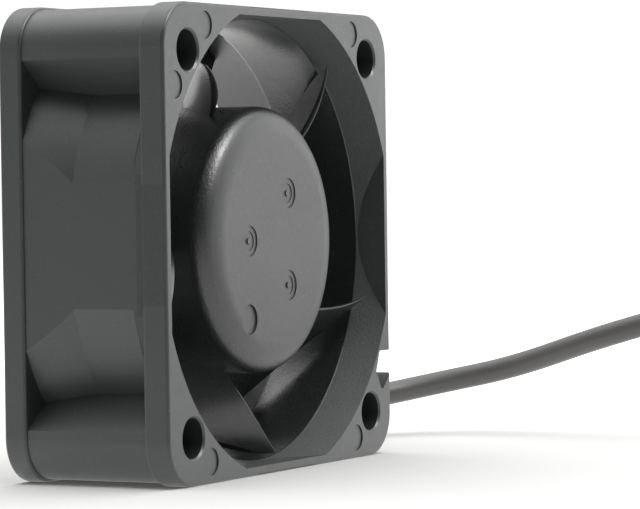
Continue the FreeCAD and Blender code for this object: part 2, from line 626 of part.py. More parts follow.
def make_impeller():
    bend_out = "(hub_radius - hub_round*(1 - sin(hub_blend_turn)))"
    bend_in = f"({bend_out} - hub_blend*sin(hub_blend_turn))"
    bend_depth = "(hub_front + hub_blend*(1 - cos(hub_blend_turn)))"
    cup = lathe("hub_cup", [
        (0, "hub_front"), (bend_in, "hub_front", "hub_blend"), (bend_out, bend_depth, "hub_round"),
        ("hub_radius", f"{bend_depth} + hub_round*cos(hub_blend_turn)"), ("hub_radius", "hub_back"),
        (CAVITY_RADIUS, "hub_back"), (CAVITY_RADIUS, CAVITY_FRONT), (0, CAVITY_FRONT)])
    spots = [(f"gate_circle*cos({angle})", f"gate_circle*sin({angle})") for angle in (60, 180, 300)]
    rims = slab("gate_rims", [], 0, "hub_front + gate_depth", circles=[(*s, "gate_radius") for s in spots])
    wells = slab("gate_wells", [], 0, "hub_front + gate_well_depth", circles=[(*s, "gate_well") for s in spots])
    nubs = slab("gate_nubs", [], "hub_front + gate_nub_depth", "hub_front + gate_well_depth",
                circles=[(*s, "gate_nub") for s in spots])
    marks = cut("gate_marks", fused("gate_hollows", [rims, wells]), [nubs])
    plain = slab("pin_mark", [], 0, "hub_front + pin_mark_depth", circles=[("pin_mark_x", "pin_mark_z",
                                                                           "gate_radius")])
    hub = cut("hub", cup, [marks, plain])
    blades, count = [], round(number("blade_count"))
    first = blade_solid()
    for k in range(count):
        blade = doc.addObject("Part::Feature", f"blade_{k + 1}")
        turned = first.copy()
        turned.rotate(Vector(0, 0, 0), Vector(0, 1, 0), -360 * k / count)
        blade.Shape = turned
        blades.append(blade)
    impeller = fused("impeller", [hub, *blades])
    impeller.Refine = False
    return place(impeller, "impeller")


# Rotor

FRONT_MIDDLE = "(front_bearing + bearing_width/2)"
REAR_MIDDLE = "(rear_bearing + bearing_width/2)"
REAR_FACE = "(rear_bearing + bearing_width)"
CLIP_FRONT = f"({REAR_FACE} + washer_thickness)"


def make_rotor():
    """Everything that turns with the impeller."""
    inner, bend = f"({CAVITY_RADIUS} - yoke_wall)", "(yoke_wall + yoke_bend)"
    plate = f"({CAVITY_FRONT} + yoke_plate)"
    place(lathe("rotor_yoke", [
        ("bush_neck", CAVITY_FRONT), (f"{CAVITY_RADIUS} - {bend}", CAVITY_FRONT, bend),
        (CAVITY_RADIUS, f"{CAVITY_FRONT} + {bend}"), (CAVITY_RADIUS, "yoke_back"), (inner, "yoke_back"),
        (inner, f"{plate} + yoke_bend", "-yoke_bend"), (f"{inner} - yoke_bend", plate),
        ("bush_neck", plate)]), "rotor_yoke")
    place(lathe("ring_magnet", [
        (f"{inner} - magnet_wall", "magnet_front"), (inner, "magnet_front"), (inner, "magnet_back"),
        (f"{inner} - magnet_wall", "magnet_back")]), "ring_magnet")
    place(lathe("shaft_bush", [
        ("shaft_radius", CAVITY_FRONT), ("bush_neck", CAVITY_FRONT), ("bush_neck", plate),
        ("bush_collar", plate), ("bush_collar", "bush_back"), ("shaft_radius", "bush_back")]), "shaft_bush")
    groove_back = f"({CLIP_FRONT} + clip_thickness)"
    place(lathe("shaft", [
        (0, CAVITY_FRONT), ("shaft_radius - shaft_chamfer", CAVITY_FRONT),
        ("shaft_radius", f"{CAVITY_FRONT} + shaft_chamfer"), ("shaft_radius", CLIP_FRONT),
        ("groove_radius", CLIP_FRONT), ("groove_radius", groove_back), ("shaft_radius", groove_back),
        ("shaft_radius", "shaft_back - shaft_chamfer"), ("shaft_radius - shaft_chamfer", "shaft_back"),
        (0, "shaft_back")]), "shaft")
    place(lathe("washer", [
        ("shaft_radius", REAR_FACE), ("washer_radius", REAR_FACE), ("washer_radius", CLIP_FRONT),
        ("shaft_radius", CLIP_FRONT)]), "washer")
    disc = lathe("clip_disc", [
        ("groove_radius", CLIP_FRONT), ("clip_radius", CLIP_FRONT), ("clip_radius", groove_back),
        ("groove_radius", groove_back)])
    mouth = slab("clip_mouth_cut", [[(0, "-clip_mouth/2"), ("clip_radius + 1", "-clip_mouth/2"),
                                     ("clip_radius + 1", "clip_mouth/2"), (0, "clip_mouth/2")]],
                 REAR_FACE, f"{groove_back} + 1")
    place(cut("retaining_ring", disc, [mouth]), "retaining_ring")
    spring = doc.addObject("Part::Feature", "preload_spring")
    spring.Shape = Part.makeCompound([spring_solid()])
    place(spring, "preload_spring")


def spring_solid():
    """The open coil spring between the bush and the front bearing's inner ring."""
    wire = number("spring_wire/2")
    front, back = number("bush_back") + wire, number("front_bearing") - wire
    turns = number("spring_turns")
    radius = number("(shaft_radius + ball_circle - race_gap)/2")
    path = Part.Wire(Part.makeHelix((back - front) / turns, back - front, radius).Edges)
    section = Part.Wire(Part.makeCircle(wire, Vector(radius, 0, 0), Vector(0, 1, 0)))
    spring = path.makePipeShell([section], True, True)
    spring.rotate(Vector(0, 0, 0), Vector(1, 0, 0), -90)
    spring.translate(Vector(0, front, 0))
    return spring


# Bearings

def ball_places(middle):
    """Where each ball's centre is, as expressions."""
    for k in range(round(number("ball_count"))):
        angle = f"({k}*360/ball_count)"
        yield k, (f"ball_circle*cos({angle})", middle, f"ball_circle*sin({angle})")


def sphere(name, spot, radius):
    ball = doc.addObject("Part::Sphere", name)
    return bind(ball, Radius=radius, Placement__Base__x=spot[0], Placement__Base__y=spot[1],
                Placement__Base__z=spot[2])


def radial_drill(name, angle, middle):
    """A drill from the axis outwards, for one pocket of the cage."""
    drill = doc.addObject("Part::Cylinder", name)
    drill.Placement = Placement(Vector(0, 0, 0), Rotation(Vector(0, 1, 0), 90))
    return bind(drill, Radius="ball_radius + pocket_clearance", Height="ball_circle + cage_wall",
                Placement__Base__y=middle, Placement__Rotation__Angle=f"90 - {angle}")


def make_bearing(end, front, middle):
    """A deep-groove ball bearing: two grooved rings, the balls and their cage."""
    back, groove = f"({front} + bearing_width)", "(ball_radius + race_clearance)"
    half = f"sqrt({groove}^2 - race_gap^2)"
    inner, outer = "(ball_circle - race_gap)", "(ball_circle + race_gap)"
    place(lathe(f"{end}_inner", [
        ("shaft_radius", front), (inner, front), (inner, f"{middle} - {half}", f"-{groove}"),
        (inner, f"{middle} + {half}"), (inner, back), ("shaft_radius", back)]), f"{end}_bearing_inner_ring")
    place(lathe(f"{end}_outer", [
        ("bearing_radius", front), ("bearing_radius", back), (outer, back),
        (outer, f"{middle} + {half}", f"-{groove}"), (outer, f"{middle} - {half}"),
        (outer, front)]), f"{end}_bearing_outer_ring")
    balls = doc.addObject("Part::Compound", f"{end}_balls")
    balls.Links = [sphere(f"{end}_ball_{k + 1}", spot, "ball_radius") for k, spot in ball_places(middle)]
    place(balls, f"{end}_balls")
    low, high = "(ball_circle - cage_wall/2)", "(ball_circle + cage_wall/2)"
    near, far = f"({middle} - cage_width/2)", f"({middle} + cage_width/2)"
    band = lathe(f"{end}_band", [(low, near), (high, near), (high, far), (low, far)])
    pockets = [radial_drill(f"{end}_pocket_{k + 1}", f"({k}*360/ball_count)", middle)
               for k in range(round(number("ball_count")))]
    place(cut(f"{end}_cage", band, pockets), f"{end}_cage")


def make_tube():
    """The brass tube in the base's boss, with a shoulder between its two bearing seats."""
    step = "(bearing_radius - tube_step)"
    lead, seat = "(front_bearing - tube_lead)", "(front_bearing + bearing_width)"
    place(lathe("bearing_tube", [
        ("bearing_radius", lead), (TUBE_RADIUS, lead), (TUBE_RADIUS, TUBE_BACK),
        ("bearing_radius", TUBE_BACK), ("bearing_radius", "rear_bearing"), (step, "rear_bearing"),
        (step, seat), ("bearing_radius", seat)]), "bearing_tube")


# Stator

CORE_BACK = "(core_front + core_stack)"
SHOE_RADIUS = f"({CAVITY_RADIUS} - yoke_wall - magnet_wall - air_gap)"
SHOE_INSIDE = f"({SHOE_RADIUS} - shoe_thickness)"
RING_RADIUS = f"({TUBE_RADIUS} + core_ring)"
POLE_TURNS = [f"(pole_turn + {turn})" for turn in (0, 90, 180, 270)]


def sector(inner, outer, half, angle):
    """A piece of a ring between two radii, half an arc each way from an angle."""
    first, last = f"({angle} - {half})", f"({angle} + {half})"
    return [ring_corner(inner, 0, first), (*ring_corner(outer, 0, first), outer),
            ring_corner(outer, 0, last), (*ring_corner(inner, 0, last), f"-{inner}")]


def body_sketch(body, name, plane, offset):
    """A sketch on one of a body's own origin planes, moved along its normal."""
    drawn = body.newObject("Sketcher::SketchObject", name)
    drawn.AttachmentSupport = [(next(o for o in body.Origin.OriginFeatures if o.Role == plane), "")]
    drawn.MapMode = "FlatFace"
    bind(drawn, AttachmentOffset__Base__z=offset)
    return drawn


def make_core():
    """Laminated core: a ring, and one pole with its shoe repeated around the axis."""
    body = doc.addObject("PartDesign::Body", "core_body")
    ring = body_sketch(body, "core_ring_outline", "XZ_Plane", f"-{CORE_BACK}")
    circle(ring, 0, 0, RING_RADIUS)
    circle(ring, 0, 0, TUBE_RADIUS)
    pad = body.newObject("PartDesign::Pad", "core_ring_pad")
    pad.Profile = ring
    bind(pad, Length="core_stack")
    doc.recompute()
    pole = body_sketch(body, "pole_outline", "XZ_Plane", f"-{CORE_BACK}")
    half, start = "pole_width/2", f"({RING_RADIUS} - core_ring/2)"
    neck = f"sqrt({SHOE_INSIDE}^2 - ({half})^2)"
    outline(pole, [
        (start, f"-{half}"), (neck, f"-{half}", f"-{SHOE_INSIDE}"),
        ring_corner(SHOE_INSIDE, 0, "-shoe_angle"),
        (*ring_corner(SHOE_RADIUS, 0, "-shoe_angle"), SHOE_RADIUS),
        ring_corner(SHOE_RADIUS, 0, "shoe_angle"),
        (*ring_corner(SHOE_INSIDE, 0, "shoe_angle"), f"-{SHOE_INSIDE}"), (neck, half), (start, half)])
    arm = body.newObject("PartDesign::Pad", "pole_pad")
    arm.Profile = pole
    bind(arm, Length="core_stack")
    doc.recompute()
    poles = body.newObject("PartDesign::PolarPattern", "poles")
    poles.Originals = [arm]
    poles.Axis = (pole, ["N_Axis"])
    poles.Angle = 360
    poles.Occurrences = len(POLE_TURNS)
    body.Tip = poles
    doc.recompute()
    body.Placement = Placement(Vector(0, 0, 0), Rotation(Vector(0, -1, 0), number("pole_turn")))
    return place(body, "stator_core")


def make_insulator(end, face, step, core):
    """A moulded insulator: collar, pole covers and lips, with the core's own shape taken out."""
    outside = f"({face} - {step}*insulator_skin)"
    lip = f"({outside} - {step}*insulator_lip)"
    middle = "(core_front + core_stack/2)"
    near = {"collar": (lip, face), "covers": (outside, middle), "lips": (lip, face)}
    spans = {name: span if step > 0 else span[::-1] for name, span in near.items()}
    collar = slab(f"{end}_collar", [], *spans["collar"], circles=[(0, 0, RING_RADIUS), (0, 0, TUBE_RADIUS)])
    width = "(pole_width + 2*insulator_skin)"
    covers = slab(f"{end}_covers", [spoke(f"{RING_RADIUS} - core_ring/2", f"{SHOE_INSIDE} + insulator_skin",
                                          width, turn) for turn in POLE_TURNS], *spans["covers"])
    lips = slab(f"{end}_lips", [sector(f"{SHOE_INSIDE}", f"({SHOE_INSIDE} + lip_wall)",
                                       "(shoe_angle - lip_setback)", turn) for turn in POLE_TURNS], *spans["lips"])
    pieces = [collar, covers, lips]
    if step < 0:
        spots = [(*ring_corner("post_circle", 0, turn), "post_radius") for turn in POLE_TURNS]
        pieces.append(slab("board_posts", [], face, "board_front", circles=spots))
    metal = doc.addObject("Part::Feature", f"{end}_core_void")
    metal.Shape = core_void(core)
    return place(cut(f"{end}_insulator", fused(f"{end}_insulator_body", pieces), [metal]),
                 f"{end}_insulator")


def core_void(core):
    """The core's shape about the fan's axis, before it is stood at its place."""
    doc.recompute()
    shape = core.Shape.copy()
    shape.translate(core.Placement.Base * -1)
    return shape


def make_coil(k, turn):
    """One winding: a rounded block around a pole, hollow where the insulated pole passes."""
    inner_wide = "(pole_width/2 + insulator_skin + coil_room)"
    inner_front = "(core_front - insulator_skin - coil_room)"
    inner_back = f"({CORE_BACK} + insulator_skin + coil_room)"
    start, stop = f"({RING_RADIUS} + coil_room)", f"(sqrt({SHOE_INSIDE}^2 - ({inner_wide} + coil_build)^2))"
    outer = doc.addObject("Part::Box", f"coil_{k}_outer")
    bind(outer, Length=f"{stop} - {start}", Width=f"{inner_back} - {inner_front} + 2*coil_build",
         Height=f"2*({inner_wide} + coil_build)", Placement__Base__x=start,
         Placement__Base__y=f"{inner_front} - coil_build", Placement__Base__z=f"-({inner_wide} + coil_build)")
    block_round = softened(f"coil_{k}_round", outer, "coil_round", lambda edge: edge.BoundBox.XLength > 0.1)
    hole = doc.addObject("Part::Box", f"coil_{k}_hole")
    bind(hole, Length=f"{stop} - {start} + 2", Width=f"{inner_back} - {inner_front}",
         Height=f"2*{inner_wide}", Placement__Base__x=f"{start} - 1", Placement__Base__y=inner_front,
         Placement__Base__z=f"-{inner_wide}")
    winding = cut(f"coil_{k}", block_round, [hole])
    winding.Placement = Placement(Vector(0, 0, 0), Rotation(Vector(0, -1, 0), 1))
    bind(winding, Placement__Rotation__Angle=turn)
    return place(winding, f"coil_{k}")


# Circuit board

BOARD_BACK = "(board_front + board_thickness)"


def make_board():
    """A round board with a flat side, a hole for the boss, pin holes and two conductor holes."""
    body = doc.addObject("PartDesign::Body", "board_body")
    disc = body_sketch(body, "board_outline", "XZ_Plane", f"-{BOARD_BACK}")
    circle(disc, 0, 0, "board_radius")
    circle(disc, 0, 0, "board_hole")
    pad = body.newObject("PartDesign::Pad", "board_pad")
    pad.Profile = disc
    bind(pad, Length="board_thickness")
    doc.recompute()
    holes = body_sketch(body, "board_holes", "XZ_Plane", f"-{BOARD_BACK}")
    for turn in POLE_TURNS:
        circle(holes, *ring_corner("post_circle", 0, turn), "pin_size")
    for side in (1, -1):
        spot = ring_corner("wire_circle", f"{side}*wire_pitch/2", WIRE_ANGLE)
        circle(holes, *spot, "wire_hole")
    far, flat = "(board_radius + 1)", "(board_relief - board_radius)"
    outline(holes, [(f"-{far}", f"-{far}"), (flat, f"-{far}"), (flat, far), (f"-{far}", far)])
    pocket = body.newObject("PartDesign::Pocket", "board_pocket")
    pocket.Profile = holes
    pocket.Type = "ThroughAll"
    pocket.Midplane = True
    body.Tip = pocket
    doc.recompute()
    return place(body, "circuit_board")


def chip(name, along, across, tall, radius, turn, front):
    """A block on the board: its size along the spoke, across it and in depth, at a radius and an angle."""
    solid = doc.addObject("Part::Box", name)
    bind(solid, Length=along, Height=across, Width=tall, Placement__Base__x=f"{radius} - ({along})/2",
         Placement__Base__y=front, Placement__Base__z=f"-({across})/2")
    turned = doc.addObject("Part::Compound", name + "_turned")
    turned.Links = [solid]
    turned.Placement = Placement(Vector(0, 0, 0), Rotation(Vector(0, -1, 0), 1))
    return bind(turned, Placement__Rotation__Angle=turn)


def make_components():
    place(chip("hall", "hall_width", "hall_length", "hall_height", "hall_circle",
               f"(pole_turn + 180/{len(POLE_TURNS)})",
               "board_front - hall_height"), "hall_sensor")
    place(chip("driver", "driver_width", "driver_length", "driver_height", "chip_circle",
               "driver_turn", BOARD_BACK), "driver_chip")
    place(chip("bulk", "capacitor_width", "capacitor_length", "capacitor_height", "chip_circle",
               "capacitor_turn", BOARD_BACK), "capacitor")
    resistors = doc.addObject("Part::Compound", "resistor_pair")
    resistors.Links = [chip(f"resistor_{k + 1}", "resistor_width", "resistor_length", "resistor_height",
                            "chip_circle", f"(resistor_turn + {k}*resistor_step)", BOARD_BACK)
                       for k in range(2)]
    place(resistors, "resistors")
    corners = [spoke("(post_circle - pin_size/2)", "(post_circle + pin_size/2)", "pin_size", turn)
               for turn in POLE_TURNS]
    place(slab("terminal_pins", corners, "board_front", f"{BOARD_BACK} + pin_length"), "terminal_pins")


# Wires and cable

def turn_between(before, corner, after):
    """How far a path turns at a corner, in radians."""
    return (corner - before).getAngle(after - corner)


def rounded_path(points, radii):
    """Straight runs joined by tangent arcs of the given radii, as one wire."""
    edges, start = [], points[0]
    for before, corner, after, radius in zip(points[:-2], points[1:-1], points[2:], radii):
        half = turn_between(before, corner, after) / 2
        into, out = (corner - before).normalize(), (after - corner).normalize()
        first, last = corner - into * radius * math.tan(half), corner + out * radius * math.tan(half)
        inward = (out - into).normalize()
        middle = corner + inward * radius * (1 / math.cos(half) - 1)
        edges += [Part.LineSegment(start, first).toShape(), Part.Arc(first, middle, last).toShape()]
        start = last
    edges.append(Part.LineSegment(start, points[-1]).toShape())
    return Part.Wire(edges)


def tube_along(path, radius):
    """A round solid along a path, checked against its section times its length."""
    start = path.Edges[0].Vertexes[0].Point
    ahead = path.Edges[0].tangentAt(path.Edges[0].FirstParameter)
    section = Part.Wire(Part.makeCircle(radius, start, ahead))
    tube = path.makePipeShell([section], True, False)
    wanted = math.pi * radius ** 2 * path.Length
    if abs(tube.Volume - wanted) > 0.01 * wanted:
        raise ValueError(f"a tube of {tube.Volume:.2f} cubic mm should hold {wanted:.2f}")
    return tube


def soft_radii(points):
    """Arcs as large as the runs beside them allow."""
    radii = []
    for before, corner, after in zip(points[:-2], points[1:-1], points[2:]):
        shorter = min((corner - before).Length, (after - corner).Length)
        radii.append(0.45 * shorter / math.tan(turn_between(before, corner, after) / 2))
    return radii


def make_lead_wires():
    """Two conductors from the board, through the base and along the strut to the end of the jacket."""
    turn = math.radians(number(WIRE_ANGLE))
    along, across = Vector(math.cos(turn), 0, math.sin(turn)), Vector(-math.sin(turn), 0, math.cos(turn))
    depth, board = number(CABLE_DEPTH), number(BOARD_BACK)
    corner = Vector(number("frame_width/2 - notch_reach"), depth, -number("notch_height"))
    end = corner + Vector(number("jacket_inset"), 0, 0)
    bend, half = number("wire_bend"), number("wire_pitch/2")
    wires = []
    for side in (half, -half):
        start = along * number("wire_circle") + across * side
        skew = across * side + along * side * math.tan(turn / 2)
        points = [start + Vector(0, board, 0), start + Vector(0, depth, 0), corner + skew,
                  end + Vector(0, 0, side)]
        wires.append(tube_along(rounded_path(points, [bend, bend]), number("wire_radius")))
    pair = doc.addObject("Part::Feature", "lead_wires")
    pair.Shape = Part.makeCompound(wires)
    return place(pair, "lead_wires")


# The cable's route from the frame to its put-away coil, in the fan's standing frame
LED_POINTS = 3
CABLE_ROUTE = [
    (22.9, 8.6, 10.5), (32.3, 8.6, 10.5), (43.1, 4.8, 4.2), (52.1, -3.2, 6.2), (54.2, -12.4, 8.1),
    (51.4, -25.3, 12.2), (51.8, -37.0, 15.3), (53.0, -49.0, 11.6), (53.4, -59.0, 4.4),
]


def stand(thing, label):
    """Name a sub-part that is already drawn where it lies."""
    thing.Label = label
    PARTS.append(thing)
    return thing


def make_cable():
    """The free cable. Its first points keep to the notch, wherever the sizes put that."""
    points = [Vector(*point) for point in CABLE_ROUTE]
    notch = Vector(number("frame_width/2 - notch_reach + jacket_inset"),
                   number(f"{CABLE_DEPTH} - frame_depth/2"), number("frame_width/2 - notch_height"))
    moved = notch - points[0]
    points[:LED_POINTS] = [point + moved for point in points[:LED_POINTS]]
    radii = soft_radii(points)
    path = rounded_path(points, radii)
    print("cable arcs:", ", ".join(f"{radius:.1f}" for radius in radii), "mm, length", round(path.Length, 1))
    cable = doc.addObject("Part::Feature", "cable")
    cable.Shape = tube_along(path, number("cable_radius"))
    stand(cable, "cable")


def make_coil_of_cable():
    """The outer shape of the put-away turns: a ring with rounded edges on the floor."""
    half, tall, bend = "coil_half_width", "coil_height", "cable_radius"
    low, high = f"(coil_circle - {half})", f"(coil_circle + {half})"
    drawn = doc.addObject("Sketcher::SketchObject", "turns_section")
    drawn.Placement = Placement(Vector(0, 0, 0), Rotation(Vector(1, 0, 0), 90))
    outline(drawn, [
        (f"{low} + {bend}", 0), (f"{high} - {bend}", 0, bend), (high, bend), (high, f"{tall} - {bend}", bend),
        (f"{high} - {bend}", tall), (f"{low} + {bend}", tall, bend), (low, f"{tall} - {bend}"),
        (low, bend, bend)])
    turns = doc.addObject("Part::Revolution", "turns")
    turns.Source = drawn
    turns.Axis = Vector(0, 0, 1)
    turns.Base = Vector(0, 0, 0)
    turns.Angle = 360
    turns.Solid = True
    bind(turns, Placement__Base__x="coil_x", Placement__Base__y="coil_y")
    stand(turns, "cable_coil")


def box(name, low, size):
    """A block by its lowest corner and its size, both as expressions."""
    solid = doc.addObject("Part::Box", name)
    bind(solid, Length=size[0], Width=size[1], Height=size[2])
    return bind(solid, Placement__Base__x=low[0], Placement__Base__y=low[1], Placement__Base__z=low[2])


def make_cable_end():
    """The end of the jacket, its two conductors, the connector housing and its contacts."""
    line = "(coil_y - coil_circle - cable_radius)"
    tail = doc.addObject("Part::Cylinder", "cable_tail")
    tail.Placement = Placement(Vector(0, 0, 0), Rotation(Vector(0, 1, 0), 90))
    bind(tail, Radius="cable_radius", Height="tail_start - tail_end", Placement__Base__x="tail_end",
         Placement__Base__y=line, Placement__Base__z="cable_radius")
    stand(tail, "cable_tail")
    mating = "(plug_start - plug_length)"
    seat = f"({mating} + contact_inset + contact_length)"
    wires = []
    for side in (1, -1):
        near = Vector(number("tail_end"), number(line) + side * number("wire_radius"), number("cable_radius"))
        far = Vector(number(seat), number(line) + side * number("plug_pitch/2"), number("plug_height/2"))
        rise = (near.x - number("plug_start")) / 3
        points = [near, near - Vector(rise, 0, 0), Vector(number("plug_start") + rise / 2, far.y, far.z), far]
        wires.append(tube_along(rounded_path(points, soft_radii(points)), number("wire_radius")))
    leads = doc.addObject("Part::Feature", "connector_leads")
    leads.Shape = Part.makeCompound(wires)
    stand(leads, "connector_leads")
    outer = box("plug_block", (mating, f"{line} - plug_width/2", 0), ("plug_length", "plug_width",
                                                                     "plug_height"))
    shell = softened("plug_round", outer, "plug_edge", lambda edge: edge.BoundBox.XLength > 1)
    tools, contacts = [], []
    for side, name in ((1, "left"), (-1, "right")):
        middle = f"({line} + {side}*plug_pitch/2)"
        slot = (f"{mating} - 1", f"{middle} - plug_slot/2", "(plug_height - plug_slot)/2")
        tools.append(box(f"slot_{name}", slot, ("plug_length + 2", "plug_slot", "plug_slot")))
        window = (f"{mating} + window_start", f"{middle} - plug_slot/2", "plug_height/2")
        tools.append(box(f"window_{name}", window, ("window_length", "plug_slot", "plug_height")))
        floor = "(plug_height - plug_slot)/2"
        metal = box(f"contact_{name}", (f"{mating} + contact_inset", f"{middle} - contact_size/2", floor),
                    ("contact_length", "contact_size", "contact_size"))
        bore = box(f"bore_{name}", (f"{mating} + contact_inset - 1", f"{middle} - contact_bore/2",
                                    f"{floor} + (contact_size - contact_bore)/2"),
                   ("contact_length/2 + 1", "contact_bore", "contact_bore"))
        contacts.append(cut(f"contact_{name}_hollow", metal, [bore]))
    stand(cut("plug", shell, tools), "connector_housing")
    pair = doc.addObject("Part::Compound", "contact_pair")
    pair.Links = contacts
    stand(pair, "connector_terminals")


def check_and_write():
    """Stop at any object that failed, then write each sub-part to a file of its own."""
    doc.recompute()
    failed = [thing.Name for thing in doc.Objects if "Invalid" in thing.State or "Error" in thing.State]
    if failed:
        raise ValueError(f"objects that failed: {failed}")
    os.makedirs("parts", exist_ok=True)
    for part in PARTS:
        shape = part.Shape
        if shape.isNull() or not shape.isValid() or not shape.Solids:
            raise ValueError(f"{part.Label} has no valid solid")
        shape.exportStep(f"parts/{part.Label}.step")
        print(f"{part.Label}: {len(shape.Solids)} solid, {shape.Volume:.2f} cubic mm")


make_frame()
make_impeller()
make_rotor()
make_bearing("front", "front_bearing", FRONT_MIDDLE)
make_bearing("rear", "rear_bearing", REAR_MIDDLE)
make_tube()
stator = make_core()
make_insulator("front", "core_front", 1, stator)
make_insulator("rear", CORE_BACK, -1, stator)
for number_of_coil, pole in enumerate(POLE_TURNS, start=1):
    make_coil(number_of_coil, pole)
make_board()
make_components()
make_lead_wires()
make_cable()
make_coil_of_cable()
make_cable_end()
check_and_write()
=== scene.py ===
"""A small square cooling fan in black moulded plastic, standing on a pale floor with its cable led away.

Blender 4.5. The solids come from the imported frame, in metres: X right, Y from the inlet face to the
exhaust face, Z up, with the floor at Z = 0.
"""
import math

import bmesh
import bpy
from mathutils import Matrix, Vector


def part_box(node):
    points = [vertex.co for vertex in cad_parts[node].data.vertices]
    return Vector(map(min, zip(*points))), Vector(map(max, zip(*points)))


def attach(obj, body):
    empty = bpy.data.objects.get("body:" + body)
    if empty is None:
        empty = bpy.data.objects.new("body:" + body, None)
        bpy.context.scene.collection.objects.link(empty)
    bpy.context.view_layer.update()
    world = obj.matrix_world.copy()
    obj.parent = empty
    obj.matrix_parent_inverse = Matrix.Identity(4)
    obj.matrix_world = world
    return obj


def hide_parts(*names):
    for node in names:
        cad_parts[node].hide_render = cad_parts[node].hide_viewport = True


MM = 0.001
# The fan's own sizes that its finishes follow, in millimetres
AXIS, FRAME_DEPTH = Vector((0, 0, 25)), 20.0
DUCT_RADIUS, FLARE_RADIUS, FLARE_DEPTH = 23.95, 25.7, 3.7
HUB_RADIUS, HUB_ROUND_START, HUB_ROUND_END = 14.5, 1.0, 2.6
# How far a finish's zone reaches past the faces that it covers
NEAR = 0.05
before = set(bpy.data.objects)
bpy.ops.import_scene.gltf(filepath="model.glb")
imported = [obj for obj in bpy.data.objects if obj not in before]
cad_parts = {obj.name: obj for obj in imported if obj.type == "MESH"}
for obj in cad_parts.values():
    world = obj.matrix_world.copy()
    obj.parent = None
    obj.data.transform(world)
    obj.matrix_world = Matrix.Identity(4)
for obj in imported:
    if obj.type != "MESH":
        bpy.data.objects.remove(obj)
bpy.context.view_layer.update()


# Camera

CAMERA_PLACE = Vector((-311.6, -180.4, 31.9)) * MM
CAMERA_AZIMUTH, CAMERA_ELEVATION, CAMERA_ROLL = (math.radians(a) for a in (61.95, -1.38, -0.84))
SENSOR, LENS = 36.0, 184.6


def make_camera():
    """The photograph's view: from the left of the inlet side, just above the fan's middle."""
    level = math.cos(CAMERA_ELEVATION)
    ahead = Vector((math.sin(CAMERA_AZIMUTH) * level, math.cos(CAMERA_AZIMUTH) * level,
                    math.sin(CAMERA_ELEVATION)))
    right = Vector((math.cos(CAMERA_AZIMUTH), -math.sin(CAMERA_AZIMUTH), 0))
    up = right.cross(ahead)
    turned_right = right * math.cos(CAMERA_ROLL) + up * math.sin(CAMERA_ROLL)
    turned_up = up * math.cos(CAMERA_ROLL) - right * math.sin(CAMERA_ROLL)
    data = bpy.data.cameras.new("camera")
    data.sensor_width, data.lens, data.clip_start = SENSOR, LENS, 0.01
    camera = bpy.data.objects.new("camera", data)
    axes = Matrix((turned_right, turned_up, -ahead)).transposed().to_4x4()
    camera.matrix_world = Matrix.Translation(CAMERA_PLACE) @ axes
    bpy.context.collection.objects.link(camera)
    bpy.context.scene.camera = camera


make_camera()


# Small helpers

def linear(code):
    """A hex sRGB colour as a linear colour."""
    parts = [int(code[i:i + 2], 16) / 255 for i in (1, 3, 5)]
    return [c / 12.92 if c <= 0.04045 else ((c + 0.055) / 1.055) ** 2.4 for c in parts] + [1.0]


def add(tree, kind, inputs=None, **settings):
    """A new node with its settings, its values and its links."""
    node = tree.nodes.new(kind)
    for name, value in settings.items():
        setattr(node, name, value)
    for name, value in (inputs or {}).items():
        if isinstance(value, bpy.types.NodeSocket):
            tree.links.new(value, node.inputs[name])
        else:
            node.inputs[name].default_value = value
    return node


def per_metre(size_mm):
    """A texture scale whose features are about that many millimetres across."""
    return 1 / (size_mm * MM)


def surface(name, **values):
    """A new material: itself, its node tree, its shader with plain values set, and each point's place."""
    material = bpy.data.materials.new(name)
    material.use_nodes = True
    tree = material.node_tree
    shader = tree.nodes["Principled BSDF"]
    for key, value in values.items():
        shader.inputs[key.replace("_", " ")].default_value = value
    place = add(tree, "ShaderNodeTexCoord").outputs["Object"]
    return material, tree, shader, place


def dressed(node, material):
    """Give a carried-over node its finish."""
    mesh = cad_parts[node].data
    mesh.materials.clear()
    mesh.materials.append(material)


# Materials

def from_axis(tree, place):
    """How far a point is from the fan's axis, in millimetres."""
    moved = add(tree, "ShaderNodeVectorMath", {0: place, 1: AXIS * -MM}, operation="ADD")
    across = add(tree, "ShaderNodeVectorMath", {0: moved.outputs[0], 1: (1 / MM, 0, 1 / MM)},
                 operation="MULTIPLY")
    return add(tree, "ShaderNodeVectorMath", {0: across.outputs[0]}, operation="LENGTH").outputs["Value"]


def depth_behind(tree, place):
    """How far a point is behind the inlet face, in millimetres."""
    apart = add(tree, "ShaderNodeSeparateXYZ", {"Vector": place})
    return add(tree, "ShaderNodeMath", {0: apart.outputs["Y"], 1: 1 / MM, 2: FRAME_DEPTH / 2},
               operation="MULTIPLY_ADD").outputs[0]


def between(tree, value, low, high):
    """1 where a value lies between two limits, and 0 elsewhere."""
    above = add(tree, "ShaderNodeMath", {0: value, 1: low}, operation="GREATER_THAN").outputs[0]
    below = add(tree, "ShaderNodeMath", {0: value, 1: high}, operation="LESS_THAN").outputs[0]
    return add(tree, "ShaderNodeMath", {0: above, 1: below}, operation="MULTIPLY").outputs[0]


def in_flare(tree, place):
    """The inlet flare, which the mould's erosion left coarse."""
    ring = between(tree, from_axis(tree, place), DUCT_RADIUS + NEAR / 2, FLARE_RADIUS + NEAR)
    front = between(tree, depth_behind(tree, place), NEAR, FLARE_DEPTH + NEAR / 2)
    return add(tree, "ShaderNodeMath", {0: ring, 1: front}, operation="MULTIPLY").outputs[0]


def in_duct(tree, place):
    """The duct and what stands in it, where the mould is polished."""
    return between(tree, from_axis(tree, place), 0, DUCT_RADIUS + NEAR)


